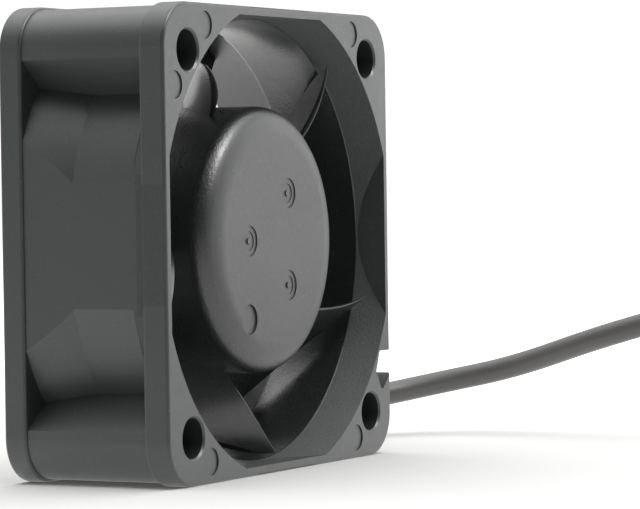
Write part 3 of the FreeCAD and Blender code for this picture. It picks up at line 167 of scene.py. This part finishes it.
def off_hub_face(tree, place):
    """From 0 on the hub's dull face to 1 on its side and on the blades."""
    depth = depth_behind(tree, place)
    return add(tree, "ShaderNodeMapRange", {"Value": depth, "From Min": HUB_ROUND_START,
                                            "From Max": HUB_ROUND_END},
               interpolation_type="SMOOTHSTEP").outputs["Result"]


def hub_corner(tree, place):
    """The hub's rounded corner and side, where the mould was left rough."""
    hub = between(tree, from_axis(tree, place), 0, HUB_RADIUS + 4 * NEAR)
    corner = off_hub_face(tree, place)
    return add(tree, "ShaderNodeMath", {0: hub, 1: corner}, operation="MULTIPLY").outputs[0]


# Settled dust, paler than the plastic
DUST = "#5c5e5d"
# Clouding where the melt flowed together, marks of handling, and specks of dust, in millimetres. Real specks
# are under 0.1 mm and are drawn coarser, to show.
MELT_CLOUD, HANDLING, DUST_SPECK = 9, 0.9, 0.26


def moulded_pbt(name, dark, light, dull, bright, bright_zone, fine, coarse, coarse_zone, coarse_matt):
    """Black glass-filled polyester, injection moulded, with a trace of dust. It is dull or bright as its
    mould is, slightly uneven, and has a fine grain everywhere and a coarse one in one zone, where it is
    more matt too. Grains are (size, depth) in millimetres, and coarser than the real ones, to show."""
    material, tree, shader, place = surface(name, IOR=1.6)
    zone = coarse_zone(tree, place)
    cloud = add(tree, "ShaderNodeTexNoise", {"Vector": place, "Scale": per_metre(MELT_CLOUD), "Detail": 3.0})
    touched = add(tree, "ShaderNodeTexNoise", {"Vector": place, "Scale": per_metre(HANDLING), "Detail": 2.0})
    both = add(tree, "ShaderNodeMath", {0: cloud.outputs["Fac"], 1: touched.outputs["Fac"]},
               operation="MULTIPLY")
    specks = add(tree, "ShaderNodeTexNoise", {"Vector": place, "Scale": per_metre(DUST_SPECK), "Detail": 2.0})
    settled = add(tree, "ShaderNodeMapRange", {"Value": specks.outputs["Fac"], "From Min": 0.64,
                                               "From Max": 0.90})
    plastic = add(tree, "ShaderNodeMix", {0: cloud.outputs["Fac"], 6: linear(dark), 7: linear(light)},
                  data_type="RGBA")
    dusty = add(tree, "ShaderNodeMix", {0: settled.outputs["Result"], 6: plastic.outputs[2], 7: linear(DUST)},
                data_type="RGBA")
    tree.links.new(dusty.outputs[2], shader.inputs["Base Color"])
    mould = add(tree, "ShaderNodeMapRange", {"Value": bright_zone(tree, place), "To Min": dull,
                                             "To Max": bright})
    uneven = add(tree, "ShaderNodeMapRange", {"Value": both.outputs[0], "To Min": -0.06, "To Max": 0.16})
    sheen = add(tree, "ShaderNodeMath", {0: mould.outputs["Result"], 1: uneven.outputs["Result"]},
                operation="ADD")
    rough = add(tree, "ShaderNodeMath", {0: zone, 1: coarse_matt, 2: sheen.outputs[0]},
                operation="MULTIPLY_ADD")
    tree.links.new(rough.outputs[0], shader.inputs["Roughness"])
    fine_bump, coarse_bump = (
        add(tree, "ShaderNodeBump", {
            "Height": add(tree, "ShaderNodeTexNoise", {"Vector": place, "Scale": per_metre(size),
                                                       "Detail": 3.0}).outputs["Fac"],
            "Distance": depth * MM})
        for size, depth in (fine, coarse))
    tree.links.new(zone, coarse_bump.inputs["Strength"])
    tree.links.new(fine_bump.outputs["Normal"], coarse_bump.inputs["Normal"])
    tree.links.new(coarse_bump.outputs["Normal"], shader.inputs["Normal"])
    return material


# Patches of handling on a soft skin and its extruded unevenness, in millimetres. The second is some 0.05 mm
# on real wire, and is drawn coarser and 0.012 mm deep, to show.
SKIN_PATCH, SKIN_GRAIN, SKIN_DEPTH = 3, 0.35, 0.012


def extruded_pvc(name, dark, light):
    """Soft PVC, extruded over wire: matt, with a faintly uneven skin and a trace of dust."""
    material, tree, shader, place = surface(name, IOR=1.53)
    dust = add(tree, "ShaderNodeTexNoise", {"Vector": place, "Scale": per_metre(SKIN_PATCH), "Detail": 5.0})
    skin = add(tree, "ShaderNodeTexNoise", {"Vector": place, "Scale": per_metre(SKIN_GRAIN), "Detail": 2.0})
    colour = add(tree, "ShaderNodeMix", {0: dust.outputs["Fac"], 6: linear(dark), 7: linear(light)},
                 data_type="RGBA")
    rough = add(tree, "ShaderNodeMapRange", {"Value": dust.outputs["Fac"], "To Min": 0.42, "To Max": 0.6})
    bump = add(tree, "ShaderNodeBump", {"Height": skin.outputs["Fac"], "Distance": SKIN_DEPTH * MM})
    tree.links.new(colour.outputs[2], shader.inputs["Base Color"])
    tree.links.new(rough.outputs["Result"], shader.inputs["Roughness"])
    tree.links.new(bump.outputs["Normal"], shader.inputs["Normal"])
    return material


# How deep the marks on bare metal are, in millimetres
MARK_DEPTH = 0.004


def bare_metal(name, dark, light, even, mark_mm):
    """Metal as it leaves the tool: uneven marks of that size, which catch the light. Real marks are a tenth
    as wide, and are drawn coarser, to show."""
    material, tree, shader, place = surface(name, Metallic=1.0)
    mark = add(tree, "ShaderNodeTexNoise", {"Vector": place, "Scale": per_metre(mark_mm), "Detail": 4.0})
    colour = add(tree, "ShaderNodeMix", {0: mark.outputs["Fac"], 6: linear(dark), 7: linear(light)},
                 data_type="RGBA")
    rough = add(tree, "ShaderNodeMapRange", {"Value": mark.outputs["Fac"], "To Min": even - 0.08,
                                             "To Max": even + 0.1})
    bump = add(tree, "ShaderNodeBump", {"Height": mark.outputs["Fac"], "Distance": MARK_DEPTH * MM})
    tree.links.new(colour.outputs[2], shader.inputs["Base Color"])
    tree.links.new(rough.outputs["Result"], shader.inputs["Roughness"])
    tree.links.new(bump.outputs["Normal"], shader.inputs["Normal"])
    return material


# Clouding on the small parts, in millimetres
SMALL_CLOUD = 2


def plain_moulding(name, dark, light, even):
    """A small moulded or pressed part: one colour with slight clouding, which its sheen follows."""
    material, tree, shader, place = surface(name, IOR=1.5)
    cloud = add(tree, "ShaderNodeTexNoise", {"Vector": place, "Scale": per_metre(SMALL_CLOUD), "Detail": 3.0})
    colour = add(tree, "ShaderNodeMix", {0: cloud.outputs["Fac"], 6: linear(dark), 7: linear(light)},
                 data_type="RGBA")
    rough = add(tree, "ShaderNodeMapRange", {"Value": cloud.outputs["Fac"], "To Min": even - 0.06,
                                             "To Max": even + 0.08})
    tree.links.new(colour.outputs[2], shader.inputs["Base Color"])
    tree.links.new(rough.outputs["Result"], shader.inputs["Roughness"])
    return material


# Frame: even dull black faces, a bright duct, and an inlet flare that spark erosion left coarse and matt
FRAME_PLASTIC = moulded_pbt("frame_moulded_pbt", "#242627", "#2d3031", 0.44, 0.22, in_duct,
                            (0.30, 0.012), (0.22, 0.045), in_flare, 0.25)
# Impeller: a dull hub face, brighter blades, and a hub corner whose grain sparkles in the light
IMPELLER_PLASTIC = moulded_pbt("impeller_moulded_pbt", "#252727", "#2e3030", 0.50, 0.30, off_hub_face,
                               (0.24, 0.005), (0.28, 0.046), hub_corner, 0.0)
# Dark grey jacket, a little paler than the frame, with soft highlights along it
CABLE_JACKET = extruded_pvc("cable_jacket_pvc", "#535251", "#5e5d5b")
# Nearly black insulation of the two conductors, and the coil's tie
WIRE_SKIN = extruded_pvc("wire_skin_pvc", "#262626", "#2e2e2e")
# Deep-drawn yoke: grey, with blurred reflections
DRAWN_STEEL = bare_metal("drawn_steel", "#8d8f92", "#a3a5a7", 0.42, 0.8)
# Ground and lapped: bright, with clear reflections
GROUND_STEEL = bare_metal("ground_steel", "#a9abad", "#bcbec0", 0.22, 0.3)
# Punched and stacked sheets: dark grey, with a satin finish
CORE_STEEL = bare_metal("silicon_steel", "#6d6f72", "#84868a", 0.45, 0.5)
# Turned: warm yellow, with fine tool marks
BRASS = bare_metal("turned_brass", "#b08d4a", "#c7a55f", 0.3, 0.4)
# Wound wire under clear enamel: reddish brown, with a soft gloss
COPPER = bare_metal("enamelled_copper", "#93492a", "#b1613a", 0.3, 0.4)
# Pressed ferrite powder in a binder: charcoal, nearly matt
MAGNET = plain_moulding("bonded_ferrite", "#1f2022", "#2b2c2f", 0.6)
# Uncoloured nylon: creamy white, with a soft sheen
NYLON = plain_moulding("natural_nylon", "#bdb8a9", "#cfcabd", 0.45)
# Fabric-filled phenolic: brown and dull
CAGE = plain_moulding("phenolic_cage", "#6f5230", "#86653c", 0.55)
# Solder mask over copper: deep green, fairly glossy
BOARD = plain_moulding("solder_mask_green", "#1d4a2a", "#275a35", 0.35)
# Epoxy moulding compound: black and matt
CHIP = plain_moulding("epoxy_moulding", "#1b1b1c", "#232324", 0.6)
# Fired ceramic: tan, with a slight glaze
CERAMIC = plain_moulding("ceramic_capacitor", "#7a6240", "#8c7350", 0.4)
# White nylon of the connector, smooth from its mould
WHITE_NYLON = plain_moulding("connector_nylon", "#cfcdc4", "#dedcd4", 0.4)

FINISHES = {
    FRAME_PLASTIC: ["frame"],
    IMPELLER_PLASTIC: ["impeller"],
    DRAWN_STEEL: ["rotor_yoke"],
    GROUND_STEEL: ["shaft", "retaining_ring", "preload_spring", "front_bearing_inner_ring", "front_balls",
                   "front_bearing_outer_ring", "rear_bearing_inner_ring", "rear_bearing_outer_ring",
                   "rear_balls"],
    CORE_STEEL: ["stator_core"],
    BRASS: ["shaft_bush", "bearing_tube", "terminal_pins", "connector_terminals"],
    COPPER: ["coil_1", "coil_2", "coil_3", "coil_4"],
    MAGNET: ["ring_magnet"],
    NYLON: ["washer", "front_insulator", "rear_insulator"],
    CAGE: ["front_cage", "rear_cage"],
    BOARD: ["circuit_board"],
    CHIP: ["hall_sensor", "driver_chip", "resistors"],
    CERAMIC: ["capacitor"],
    WIRE_SKIN: ["lead_wires", "connector_leads"],
    WHITE_NYLON: ["connector_housing"],
}
for finish, nodes in FINISHES.items():
    for node in nodes:
        dressed(node, finish)


# Cable

CABLE_RADIUS = 1.4
# The route from the frame's notch to the put-away coil, in millimetres
CABLE_ROUTE = [
    (22.9, 8.6, 10.5), (32.3, 8.6, 10.5), (43.1, 4.8, 4.2), (52.1, -3.2, 6.2), (54.2, -12.4, 8.1),
    (51.4, -25.3, 12.2), (51.8, -37.0, 15.3), (53.0, -49.0, 11.6), (53.4, -59.0, 4.4),
]
COIL_MIDDLE, COIL_CIRCLE = (38.0, -59.0), 15.4
# Points to a turn, and turns
STEPS, TURNS = 12, 2.25
# Where the first strand comes down into the ring, where the second moves outwards, and over how many degrees
STRAND_DOWN, STRAND_OUT, MOVE = 150, 450, 70


def eased(value, start, length):
    """0 before start, 1 from start + length, and smooth between."""
    share = min(max((value - start) / length, 0), 1)
    return share * share * (3 - 2 * share)


def coil_points():
    """The put-away turns: one strand on top, which comes down inside, then turns outside."""
    step = 360 / STEPS
    swell = 1 / math.cos(math.radians(step / 2))
    for k in range(round(TURNS * STEPS)):
        turned = (k + 0.5) * step
        down = eased(turned, STRAND_DOWN, MOVE)
        radius = COIL_CIRCLE - CABLE_RADIUS * down + 2 * CABLE_RADIUS * eased(turned, STRAND_OUT, MOVE)
        height = 3 * CABLE_RADIUS - 2 * CABLE_RADIUS * down
        angle = math.radians(-turned)
        yield (COIL_MIDDLE[0] + radius * swell * math.cos(angle),
               COIL_MIDDLE[1] + radius * swell * math.sin(angle), height)


def make_cable():
    """The whole cable as one curve, from the notch through the coil to the connector's conductors."""
    low, high = (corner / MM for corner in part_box("cable_tail"))
    line = (low.y + high.y) / 2
    tail = [(x, line, CABLE_RADIUS) for x in (33.0, 27.5, low.x)]
    points = CABLE_ROUTE + list(coil_points()) + tail
    data = bpy.data.curves.new("cable_cord", "CURVE")
    data.dimensions = "3D"
    data.bevel_depth, data.bevel_resolution, data.resolution_u = CABLE_RADIUS * MM, 5, 8
    data.use_fill_caps = True
    spline = data.splines.new("NURBS")
    spline.points.add(len(points) - 1)
    for spot, point in zip(spline.points, points):
        spot.co = (*(Vector(point) * MM), 1)
    spline.order_u = 3
    spline.use_endpoint_u = True
    cable = bpy.data.objects.new("cable_cord", data)
    data.materials.append(CABLE_JACKET)
    bpy.context.collection.objects.link(cable)
    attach(cable, "housing")
    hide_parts("cable", "cable_coil", "cable_tail")
    return cable


# Where the tie is on the coil, in degrees, and its lowest point, in millimetres
TIE_TURN, TIE_FOOT = -250, 0.02


def make_coil_tie():
    """The soft plastic tie that holds the turns together, with its underside on the floor."""
    angle = math.radians(TIE_TURN)
    wide, thick, sides = 2.4, 0.35, 32
    outline = []
    for k in range(sides):
        turn = 2 * math.pi * k / sides
        across = math.copysign(CABLE_RADIUS, math.cos(turn)) if abs(math.cos(turn)) > 1e-9 else 0
        outline.append((across + CABLE_RADIUS * math.cos(turn), CABLE_RADIUS + CABLE_RADIUS * math.sin(turn),
                        math.cos(turn), math.sin(turn)))
    band = bmesh.new()
    rings = []
    for side, out in ((-1, thick), (1, thick), (1, 0), (-1, 0)):
        ring = []
        for across, height, nx, nz in outline:
            radius = COIL_CIRCLE + across + nx * out
            along = side * wide / 2
            spot = Vector((COIL_MIDDLE[0] + radius * math.cos(angle) - along * math.sin(angle),
                           COIL_MIDDLE[1] + radius * math.sin(angle) + along * math.cos(angle),
                           max(height + nz * out, TIE_FOOT)))
            ring.append(band.verts.new(spot * MM))
        rings.append(ring)
    for a, b in zip(rings, rings[1:] + rings[:1]):
        for k in range(len(a)):
            j = (k + 1) % len(a)
            band.faces.new((a[k], a[j], b[j], b[k]))
    bmesh.ops.recalc_face_normals(band, faces=band.faces)
    mesh = bpy.data.meshes.new("coil_tie")
    band.to_mesh(mesh)
    band.free()
    mesh.polygons.foreach_set("use_smooth", [True] * len(mesh.polygons))
    mesh.materials.append(WIRE_SKIN)
    tie = bpy.data.objects.new("coil_tie", mesh)
    bpy.context.collection.objects.link(tie)
    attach(tie, "housing")
    return tie


cable = make_cable()
tie = make_coil_tie()


# Floor and light

# The level direction that points away from the dark part of the room, and what is left of the light there
LIT_SIDE, DARK_SHARE = (0.8, 0.6, 0), 0.15
# How far from the fan the card's painted shade starts to fade, and where it is gone, in metres
PAINTED_SHADE_FADES, PAINTED_SHADE_GONE = 0.03, 0.22
# What matt faces get of the world's light, where mirrored light is 1
WORLD_DIFFUSE = 0.5


def off_the_front_left(tree, place, reach, full):
    """A level that falls off towards the inlet's left, where the room was dark."""
    towards = add(tree, "ShaderNodeVectorMath", {0: place, 1: LIT_SIDE}, operation="DOT_PRODUCT")
    return add(tree, "ShaderNodeMapRange", {"Value": towards.outputs["Value"], "From Min": reach,
                                            "From Max": 0.0, "To Min": DARK_SHARE * full, "To Max": full},
               interpolation_type="SMOOTHSTEP").outputs["Result"]


def seen_white(name, colour, near_glow, far_glow, mirrored):
    """Pale matt card. The camera and reflections see it brighter than it lights the object, and
    more so away from the fan: near the fan its glow fades, a painted shade on top of the fan's real soft
    shadow."""
    material, tree, shader, place = surface(name, Roughness=0.9, Specular_IOR_Level=0.1)
    shader.inputs["Base Color"].default_value = linear(colour)
    shader.inputs["Emission Color"].default_value = (1, 1, 1, 1)
    path = add(tree, "ShaderNodeLightPath")
    away = add(tree, "ShaderNodeVectorMath", {0: place}, operation="LENGTH")
    # The camera's glow is weaker near the fan, a painted shade around the fan's foot
    glow_past_painted_shade = add(tree, "ShaderNodeMapRange",
                     {"Value": away.outputs["Value"], "From Min": PAINTED_SHADE_FADES, "From Max": PAINTED_SHADE_GONE,
                      "To Min": near_glow, "To Max": far_glow}, interpolation_type="SMOOTHSTEP")
    glow = add(tree, "ShaderNodeMath", {0: path.outputs["Is Camera Ray"], 1: glow_past_painted_shade.outputs["Result"]},
               operation="MULTIPLY")
    shine = add(tree, "ShaderNodeMath", {0: path.outputs["Is Glossy Ray"],
                                         1: off_the_front_left(tree, place, -0.12, mirrored),
                                         2: glow.outputs[0]}, operation="MULTIPLY_ADD")
    tree.links.new(shine.outputs[0], shader.inputs["Emission Strength"])
    return material


def make_stage():
    """A wide pale floor that runs up into a backdrop behind the fan."""
    away = Vector((math.sin(CAMERA_AZIMUTH), math.cos(CAMERA_AZIMUTH), 0))
    side = Vector((away.y, -away.x, 0))
    # How far behind the fan and how high, in metres
    profile = [(-1.5, 0.0), (1.6, 0.0), (1.95, 0.1), (2.1, 0.4), (2.1, 2.0)]
    card = bmesh.new()
    rows = []
    for far, high in profile:
        rows.append([card.verts.new(away * far + side * wide + Vector((0, 0, high))) for wide in (-2, 2)])
    for a, b in zip(rows, rows[1:]):
        card.faces.new((a[0], a[1], b[1], b[0]))
    mesh = bpy.data.meshes.new("floor")
    card.to_mesh(mesh)
    card.free()
    # The card's glow is 0.04 near the fan, a painted shade around its foot, and 0.85 farther off
    mesh.materials.append(seen_white("pale_card", "#dededc", 0.04, 0.85, 0.85))
    floor = bpy.data.objects.new("floor", mesh)
    bpy.context.collection.objects.link(floor)


def soft_box(name, place, size, watts):
    """A square soft light that faces the fan."""
    data = bpy.data.lights.new(name, "AREA")
    data.shape, data.size, data.energy = "SQUARE", size, watts
    lamp = bpy.data.objects.new(name, data)
    lamp.location = place
    lamp.rotation_euler = (Vector((0, 0, 0.03)) - Vector(place)).to_track_quat("-Z", "Y").to_euler()
    bpy.context.collection.objects.link(lamp)
    return lamp


def light_world():
    """Even studio light, dimmer from the inlet's left, and white for the camera."""
    world = bpy.data.worlds.new("studio")
    bpy.context.scene.world = world
    world.use_nodes = True
    tree = world.node_tree
    sky = tree.nodes["Background"]
    path = add(tree, "ShaderNodeLightPath")
    towards = add(tree, "ShaderNodeTexCoord").outputs["Generated"]
    full = add(tree, "ShaderNodeMapRange", {"Value": path.outputs["Is Glossy Ray"],
                                            "To Min": WORLD_DIFFUSE})
    level = add(tree, "ShaderNodeMath", {0: off_the_front_left(tree, towards, -0.9, 1.0),
                                         1: full.outputs["Result"]}, operation="MULTIPLY")
    seen = add(tree, "ShaderNodeMath", {0: path.outputs["Is Camera Ray"], 1: level.outputs[0]},
               operation="MAXIMUM")
    sky.inputs["Color"].default_value = (1, 1, 1, 1)
    tree.links.new(seen.outputs[0], sky.inputs["Strength"])


make_stage()
light_world()
soft_box("right_box", (0.60, -0.36, 0.05), 0.8, 3.5)
soft_box("top_box", (0.08, 0.05, 0.75), 1.3, 11.0)
glint = soft_box("glint_box", (0.05, -0.48, 0.62), 0.22, 5.0)
# This one shows only as the gleam on rounded corners, and casts no second shadow on the card
glint.visible_diffuse = False

bpy.context.scene.view_settings.view_transform = "Standard"
